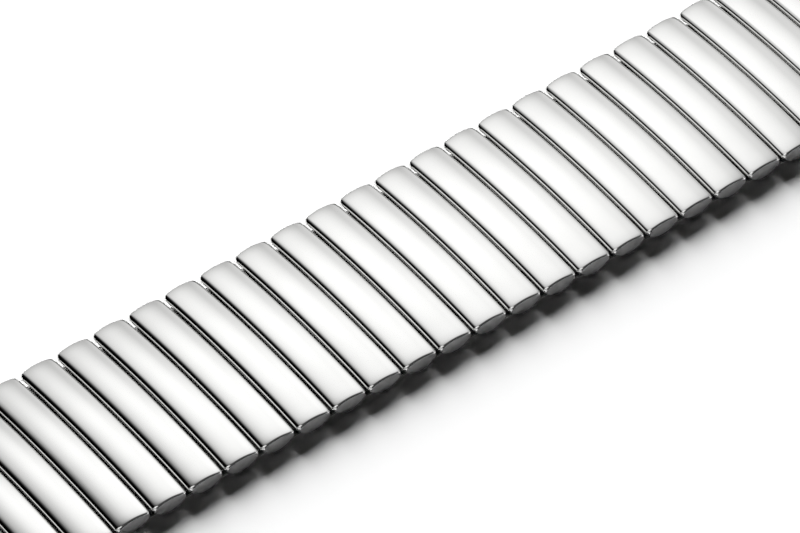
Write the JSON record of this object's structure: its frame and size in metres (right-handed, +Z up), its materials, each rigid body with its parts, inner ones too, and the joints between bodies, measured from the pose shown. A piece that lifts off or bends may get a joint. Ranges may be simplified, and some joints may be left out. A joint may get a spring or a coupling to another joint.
{
  "type": "expansion watch band",
  "caption": "Polished steel expansion watch band: crowned links over a staggered row of flat tubes stretch and curl on sprung bows, with spring-bar ends that clip between watch lugs.",
  "frame": {"origin": "bottom centre of the band as it lies flat, unstretched and straight, under the middle bottom link", "axes": "+X along the band, +Y across it, +Z up through the crowned top links"},
  "size_m": [0.099, 0.0196, 0.0024],
  "materials": {
    "top_row": "mirror polished",
    "bottom_row": "fine brushed",
    "spring_bar": "turned, bright"
  },
  "bodies": {
    "top_link_01": {"top_link_01": "top_row"},
    "top_link_02": {"top_link_02": "top_row"},
    "top_link_03": {"top_link_03": "top_row"},
    "top_link_04": {"top_link_04": "top_row"},
    "top_link_05": {"top_link_05": "top_row"},
    "top_link_06": {"top_link_06": "top_row"},
    "top_link_07": {"top_link_07": "top_row"},
    "top_link_08": {"top_link_08": "top_row"},
    "top_link_09": {"top_link_09": "top_row"},
    "top_link_10": {"top_link_10": "top_row"},
    "top_link_11": {"top_link_11": "top_row"},
    "top_link_12": {"top_link_12": "top_row"},
    "top_link_13": {"top_link_13": "top_row"},
    "top_link_14": {"top_link_14": "top_row"},
    "top_link_15": {"top_link_15": "top_row"},
    "top_link_16": {"top_link_16": "top_row"},
    "top_link_17": {"top_link_17": "top_row"},
    "top_link_18": {"top_link_18": "top_row"},
    "top_link_19": {"top_link_19": "top_row"},
    "top_link_20": {"top_link_20": "top_row"},
    "top_link_21": {"top_link_21": "top_row"},
    "top_link_22": {"top_link_22": "top_row"},
    "top_link_23": {"top_link_23": "top_row"},
    "top_link_24": {"top_link_24": "top_row"},
    "bottom_link_01": {"bottom_link_01": "bottom_row"},
    "bottom_link_02": {"bottom_link_02": "bottom_row"},
    "bottom_link_03": {"bottom_link_03": "bottom_row"},
    "bottom_link_04": {"bottom_link_04": "bottom_row"},
    "bottom_link_05": {"bottom_link_05": "bottom_row"},
    "bottom_link_06": {"bottom_link_06": "bottom_row"},
    "bottom_link_07": {"bottom_link_07": "bottom_row"},
    "bottom_link_08": {"bottom_link_08": "bottom_row"},
    "bottom_link_09": {"bottom_link_09": "bottom_row"},
    "bottom_link_10": {"bottom_link_10": "bottom_row"},
    "bottom_link_11": {"bottom_link_11": "bottom_row"},
    "bottom_link_12": {"bottom_link_12": "bottom_row"},
    "bottom_link_13": {"bottom_link_13": "bottom_row"},
    "bottom_link_14": {"bottom_link_14": "bottom_row"},
    "bottom_link_15": {"bottom_link_15": "bottom_row"},
    "bottom_link_16": {"bottom_link_16": "bottom_row"},
    "bottom_link_17": {"bottom_link_17": "bottom_row"},
    "bottom_link_18": {"bottom_link_18": "bottom_row"},
    "bottom_link_19": {"bottom_link_19": "bottom_row"},
    "bottom_link_20": {"bottom_link_20": "bottom_row"},
    "bottom_link_21": {"bottom_link_21": "bottom_row"},
    "bottom_link_22": {"bottom_link_22": "bottom_row"},
    "bottom_link_23": {"bottom_link_23": "bottom_row"},
    "bottom_link_24": {"bottom_link_24": "bottom_row"},
    "bottom_link_25": {"bottom_link_25": "bottom_row"},
    "left_end_link": {"left_end_link": "top_row"},
    "right_end_link": {"right_end_link": "top_row"},
    "left_spring_bar": {"left_spring_bar_barrel": "spring_bar", "left_spring_bar_coil": "spring_bar"},
    "left_spring_bar_near_tip": {"left_spring_bar_near_tip": "spring_bar"},
    "left_spring_bar_far_tip": {"left_spring_bar_far_tip": "spring_bar"},
    "right_spring_bar": {"right_spring_bar_barrel": "spring_bar", "right_spring_bar_coil": "spring_bar"},
    "right_spring_bar_near_tip": {"right_spring_bar_near_tip": "spring_bar"},
    "right_spring_bar_far_tip": {"right_spring_bar_far_tip": "spring_bar"}
  },
  "joints": [
    {"name": "top_link_13_flex", "type": "hinge", "parent": "bottom_link_13", "child": "top_link_13", "pos_m": [0.00082, 0, 0.00146], "axis": [0, 1, 0], "range_deg": [-8, 12], "stiffness_Nm_per_rad": 0.004},
    {"name": "bottom_link_14_stretch", "type": "slide", "parent": "top_link_13", "child": "bottom_link_14", "axis": [1, 0, 0], "range_m": [0, 0.0012], "stiffness_N_per_m": 2500},
    {"name": "top_link_14_flex", "type": "hinge", "parent": "bottom_link_14", "child": "top_link_14", "pos_m": [0.00432, 0, 0.00146], "axis": [0, 1, 0], "range_deg": [-8, 12], "stiffness_Nm_per_rad": 0.004},
    {"name": "bottom_link_15_stretch", "type": "slide", "parent": "top_link_14", "child": "bottom_link_15", "axis": [1, 0, 0], "range_m": [0, 0.0012], "stiffness_N_per_m": 2500},
    {"name": "top_link_15_flex", "type": "hinge", "parent": "bottom_link_15", "child": "top_link_15", "pos_m": [0.00782, 0, 0.00146], "axis": [0, 1, 0], "range_deg": [-8, 12], "stiffness_Nm_per_rad": 0.004},
    {"name": "bottom_link_16_stretch", "type": "slide", "parent": "top_link_15", "child": "bottom_link_16", "axis": [1, 0, 0], "range_m": [0, 0.0012], "stiffness_N_per_m": 2500},
    {"name": "top_link_16_flex", "type": "hinge", "parent": "bottom_link_16", "child": "top_link_16", "pos_m": [0.01132, 0, 0.00146], "axis": [0, 1, 0], "range_deg": [-8, 12], "stiffness_Nm_per_rad": 0.004},
    {"name": "bottom_link_17_stretch", "type": "slide", "parent": "top_link_16", "child": "bottom_link_17", "axis": [1, 0, 0], "range_m": [0, 0.0012], "stiffness_N_per_m": 2500},
    {"name": "top_link_17_flex", "type": "hinge", "parent": "bottom_link_17", "child": "top_link_17", "pos_m": [0.01482, 0, 0.00146], "axis": [0, 1, 0], "range_deg": [-8, 12], "stiffness_Nm_per_rad": 0.004},
    {"name": "bottom_link_18_stretch", "type": "slide", "parent": "top_link_17", "child": "bottom_link_18", "axis": [1, 0, 0], "range_m": [0, 0.0012], "stiffness_N_per_m": 2500},
    {"name": "top_link_18_flex", "type": "hinge", "parent": "bottom_link_18", "child": "top_link_18", "pos_m": [0.01832, 0, 0.00146], "axis": [0, 1, 0], "range_deg": [-8, 12], "stiffness_Nm_per_rad": 0.004},
    {"name": "bottom_link_19_stretch", "type": "slide", "parent": "top_link_18", "child": "bottom_link_19", "axis": [1, 0, 0], "range_m": [0, 0.0012], "stiffness_N_per_m": 2500},
    {"name": "top_link_19_flex", "type": "hinge", "parent": "bottom_link_19", "child": "top_link_19", "pos_m": [0.02182, 0, 0.00146], "axis": [0, 1, 0], "range_deg": [-8, 12], "stiffness_Nm_per_rad": 0.004},
    {"name": "bottom_link_20_stretch", "type": "slide", "parent": "top_link_19", "child": "bottom_link_20", "axis": [1, 0, 0], "range_m": [0, 0.0012], "stiffness_N_per_m": 2500},
    {"name": "top_link_20_flex", "type": "hinge", "parent": "bottom_link_20", "child": "top_link_20", "pos_m": [0.02532, 0, 0.00146], "axis": [0, 1, 0], "range_deg": [-8, 12], "stiffness_Nm_per_rad": 0.004},
    {"name": "bottom_link_21_stretch", "type": "slide", "parent": "top_link_20", "child": "bottom_link_21", "axis": [1, 0, 0], "range_m": [0, 0.0012], "stiffness_N_per_m": 2500},
    {"name": "top_link_21_flex", "type": "hinge", "parent": "bottom_link_21", "child": "top_link_21", "pos_m": [0.02882, 0, 0.00146], "axis": [0, 1, 0], "range_deg": [-8, 12], "stiffness_Nm_per_rad": 0.004},
    {"name": "bottom_link_22_stretch", "type": "slide", "parent": "top_link_21", "child": "bottom_link_22", "axis": [1, 0, 0], "range_m": [0, 0.0012], "stiffness_N_per_m": 2500},
    {"name": "top_link_22_flex", "type": "hinge", "parent": "bottom_link_22", "child": "top_link_22", "pos_m": [0.03232, 0, 0.00146], "axis": [0, 1, 0], "range_deg": [-8, 12], "stiffness_Nm_per_rad": 0.004},
    {"name": "bottom_link_23_stretch", "type": "slide", "parent": "top_link_22", "child": "bottom_link_23", "axis": [1, 0, 0], "range_m": [0, 0.0012], "stiffness_N_per_m": 2500},
    {"name": "top_link_23_flex", "type": "hinge", "parent": "bottom_link_23", "child": "top_link_23", "pos_m": [0.03582, 0, 0.00146], "axis": [0, 1, 0], "range_deg": [-8, 12], "stiffness_Nm_per_rad": 0.004},
    {"name": "bottom_link_24_stretch", "type": "slide", "parent": "top_link_23", "child": "bottom_link_24", "axis": [1, 0, 0], "range_m": [0, 0.0012], "stiffness_N_per_m": 2500},
    {"name": "top_link_24_flex", "type": "hinge", "parent": "bottom_link_24", "child": "top_link_24", "pos_m": [0.03932, 0, 0.00146], "axis": [0, 1, 0], "range_deg": [-8, 12], "stiffness_Nm_per_rad": 0.004},
    {"name": "bottom_link_25_stretch", "type": "slide", "parent": "top_link_24", "child": "bottom_link_25", "axis": [1, 0, 0], "range_m": [0, 0.0012], "stiffness_N_per_m": 2500},
    {"name": "right_end_link_flex", "type": "hinge", "parent": "bottom_link_25", "child": "right_end_link", "pos_m": [0.04282, 0, 0.00146], "axis": [0, 1, 0], "range_deg": [-8, 12], "stiffness_Nm_per_rad": 0.004},
    {"name": "top_link_12_flex", "type": "hinge", "parent": "bottom_link_13", "child": "top_link_12", "pos_m": [-0.00082, 0, 0.00146], "axis": [0, -1, 0], "range_deg": [-8, 12], "stiffness_Nm_per_rad": 0.004},
    {"name": "bottom_link_12_stretch", "type": "slide", "parent": "top_link_12", "child": "bottom_link_12", "axis": [-1, 0, 0], "range_m": [0, 0.0012], "stiffness_N_per_m": 2500},
    {"name": "top_link_11_flex", "type": "hinge", "parent": "bottom_link_12", "child": "top_link_11", "pos_m": [-0.00432, 0, 0.00146], "axis": [0, -1, 0], "range_deg": [-8, 12], "stiffness_Nm_per_rad": 0.004},
    {"name": "bottom_link_11_stretch", "type": "slide", "parent": "top_link_11", "child": "bottom_link_11", "axis": [-1, 0, 0], "range_m": [0, 0.0012], "stiffness_N_per_m": 2500},
    {"name": "top_link_10_flex", "type": "hinge", "parent": "bottom_link_11", "child": "top_link_10", "pos_m": [-0.00782, 0, 0.00146], "axis": [0, -1, 0], "range_deg": [-8, 12], "stiffness_Nm_per_rad": 0.004},
    {"name": "bottom_link_10_stretch", "type": "slide", "parent": "top_link_10", "child": "bottom_link_10", "axis": [-1, 0, 0], "range_m": [0, 0.0012], "stiffness_N_per_m": 2500},
    {"name": "top_link_09_flex", "type": "hinge", "parent": "bottom_link_10", "child": "top_link_09", "pos_m": [-0.01132, 0, 0.00146], "axis": [0, -1, 0], "range_deg": [-8, 12], "stiffness_Nm_per_rad": 0.004},
    {"name": "bottom_link_09_stretch", "type": "slide", "parent": "top_link_09", "child": "bottom_link_09", "axis": [-1, 0, 0], "range_m": [0, 0.0012], "stiffness_N_per_m": 2500},
    {"name": "top_link_08_flex", "type": "hinge", "parent": "bottom_link_09", "child": "top_link_08", "pos_m": [-0.01482, 0, 0.00146], "axis": [0, -1, 0], "range_deg": [-8, 12], "stiffness_Nm_per_rad": 0.004},
    {"name": "bottom_link_08_stretch", "type": "slide", "parent": "top_link_08", "child": "bottom_link_08", "axis": [-1, 0, 0], "range_m": [0, 0.0012], "stiffness_N_per_m": 2500},
    {"name": "top_link_07_flex", "type": "hinge", "parent": "bottom_link_08", "child": "top_link_07", "pos_m": [-0.01832, 0, 0.00146], "axis": [0, -1, 0], "range_deg": [-8, 12], "stiffness_Nm_per_rad": 0.004},
    {"name": "bottom_link_07_stretch", "type": "slide", "parent": "top_link_07", "child": "bottom_link_07", "axis": [-1, 0, 0], "range_m": [0, 0.0012], "stiffness_N_per_m": 2500},
    {"name": "top_link_06_flex", "type": "hinge", "parent": "bottom_link_07", "child": "top_link_06", "pos_m": [-0.02182, 0, 0.00146], "axis": [0, -1, 0], "range_deg": [-8, 12], "stiffness_Nm_per_rad": 0.004},
    {"name": "bottom_link_06_stretch", "type": "slide", "parent": "top_link_06", "child": "bottom_link_06", "axis": [-1, 0, 0], "range_m": [0, 0.0012], "stiffness_N_per_m": 2500},
    {"name": "top_link_05_flex", "type": "hinge", "parent": "bottom_link_06", "child": "top_link_05", "pos_m": [-0.02532, 0, 0.00146], "axis": [0, -1, 0], "range_deg": [-8, 12], "stiffness_Nm_per_rad": 0.004},
    {"name": "bottom_link_05_stretch", "type": "slide", "parent": "top_link_05", "child": "bottom_link_05", "axis": [-1, 0, 0], "range_m": [0, 0.0012], "stiffness_N_per_m": 2500},
    {"name": "top_link_04_flex", "type": "hinge", "parent": "bottom_link_05", "child": "top_link_04", "pos_m": [-0.02882, 0, 0.00146], "axis": [0, -1, 0], "range_deg": [-8, 12], "stiffness_Nm_per_rad": 0.004},
    {"name": "bottom_link_04_stretch", "type": "slide", "parent": "top_link_04", "child": "bottom_link_04", "axis": [-1, 0, 0], "range_m": [0, 0.0012], "stiffness_N_per_m": 2500},
    {"name": "top_link_03_flex", "type": "hinge", "parent": "bottom_link_04", "child": "top_link_03", "pos_m": [-0.03232, 0, 0.00146], "axis": [0, -1, 0], "range_deg": [-8, 12], "stiffness_Nm_per_rad": 0.004},
    {"name": "bottom_link_03_stretch", "type": "slide", "parent": "top_link_03", "child": "bottom_link_03", "axis": [-1, 0, 0], "range_m": [0, 0.0012], "stiffness_N_per_m": 2500},
    {"name": "top_link_02_flex", "type": "hinge", "parent": "bottom_link_03", "child": "top_link_02", "pos_m": [-0.03582, 0, 0.00146], "axis": [0, -1, 0], "range_deg": [-8, 12], "stiffness_Nm_per_rad": 0.004},
    {"name": "bottom_link_02_stretch", "type": "slide", "parent": "top_link_02", "child": "bottom_link_02", "axis": [-1, 0, 0], "range_m": [0, 0.0012], "stiffness_N_per_m": 2500},
    {"name": "top_link_01_flex", "type": "hinge", "parent": "bottom_link_02", "child": "top_link_01", "pos_m": [-0.03932, 0, 0.00146], "axis": [0, -1, 0], "range_deg": [-8, 12], "stiffness_Nm_per_rad": 0.004},
    {"name": "bottom_link_01_stretch", "type": "slide", "parent": "top_link_01", "child": "bottom_link_01", "axis": [-1, 0, 0], "range_m": [0, 0.0012], "stiffness_N_per_m": 2500},
    {"name": "left_end_link_flex", "type": "hinge", "parent": "bottom_link_01", "child": "left_end_link", "pos_m": [-0.04282, 0, 0.00146], "axis": [0, -1, 0], "range_deg": [-8, 12], "stiffness_Nm_per_rad": 0.004},
    {"name": "left_spring_bar_turn", "type": "hinge", "parent": "left_end_link", "child": "left_spring_bar", "pos_m": [-0.0486, 0, 0.001], "axis": [0, 1, 0], "continuous": true},
    {"name": "left_near_tip_press", "type": "slide", "parent": "left_spring_bar", "child": "left_spring_bar_near_tip", "axis": [0, 1, 0], "range_m": [0, 0.00095], "stiffness_N_per_m": 1500, "deforming": ["left_spring_bar_coil"]},
    {"name": "left_far_tip_press", "type": "slide", "parent": "left_spring_bar", "child": "left_spring_bar_far_tip", "axis": [0, -1, 0], "range_m": [0, 0.00095], "stiffness_N_per_m": 1500, "deforming": ["left_spring_bar_coil"]},
    {"name": "right_spring_bar_turn", "type": "hinge", "parent": "right_end_link", "child": "right_spring_bar", "pos_m": [0.0486, 0, 0.001], "axis": [0, 1, 0], "continuous": true},
    {"name": "right_near_tip_press", "type": "slide", "parent": "right_spring_bar", "child": "right_spring_bar_near_tip", "axis": [0, 1, 0], "range_m": [0, 0.00095], "stiffness_N_per_m": 1500, "deforming": ["right_spring_bar_coil"]},
    {"name": "right_far_tip_press", "type": "slide", "parent": "right_spring_bar", "child": "right_spring_bar_far_tip", "axis": [0, -1, 0], "range_m": [0, 0.00095], "stiffness_N_per_m": 1500, "deforming": ["right_spring_bar_coil"]}
  ],
  "couplings": [
    {"joint": "bottom_link_15_stretch", "follows": "bottom_link_14_stretch", "ratio": 1},
    {"joint": "bottom_link_16_stretch", "follows": "bottom_link_14_stretch", "ratio": 1},
    {"joint": "bottom_link_17_stretch", "follows": "bottom_link_14_stretch", "ratio": 1},
    {"joint": "bottom_link_18_stretch", "follows": "bottom_link_14_stretch", "ratio": 1},
    {"joint": "bottom_link_19_stretch", "follows": "bottom_link_14_stretch", "ratio": 1},
    {"joint": "bottom_link_20_stretch", "follows": "bottom_link_14_stretch", "ratio": 1},
    {"joint": "bottom_link_21_stretch", "follows": "bottom_link_14_stretch", "ratio": 1},
    {"joint": "bottom_link_22_stretch", "follows": "bottom_link_14_stretch", "ratio": 1},
    {"joint": "bottom_link_23_stretch", "follows": "bottom_link_14_stretch", "ratio": 1},
    {"joint": "bottom_link_24_stretch", "follows": "bottom_link_14_stretch", "ratio": 1},
    {"joint": "bottom_link_25_stretch", "follows": "bottom_link_14_stretch", "ratio": 1},
    {"joint": "bottom_link_12_stretch", "follows": "bottom_link_14_stretch", "ratio": 1},
    {"joint": "bottom_link_11_stretch", "follows": "bottom_link_14_stretch", "ratio": 1},
    {"joint": "bottom_link_10_stretch", "follows": "bottom_link_14_stretch", "ratio": 1},
    {"joint": "bottom_link_09_stretch", "follows": "bottom_link_14_stretch", "ratio": 1},
    {"joint": "bottom_link_08_stretch", "follows": "bottom_link_14_stretch", "ratio": 1},
    {"joint": "bottom_link_07_stretch", "follows": "bottom_link_14_stretch", "ratio": 1},
    {"joint": "bottom_link_06_stretch", "follows": "bottom_link_14_stretch", "ratio": 1},
    {"joint": "bottom_link_05_stretch", "follows": "bottom_link_14_stretch", "ratio": 1},
    {"joint": "bottom_link_04_stretch", "follows": "bottom_link_14_stretch", "ratio": 1},
    {"joint": "bottom_link_03_stretch", "follows": "bottom_link_14_stretch", "ratio": 1},
    {"joint": "bottom_link_02_stretch", "follows": "bottom_link_14_stretch", "ratio": 1},
    {"joint": "bottom_link_01_stretch", "follows": "bottom_link_14_stretch", "ratio": 1}
  ]
}
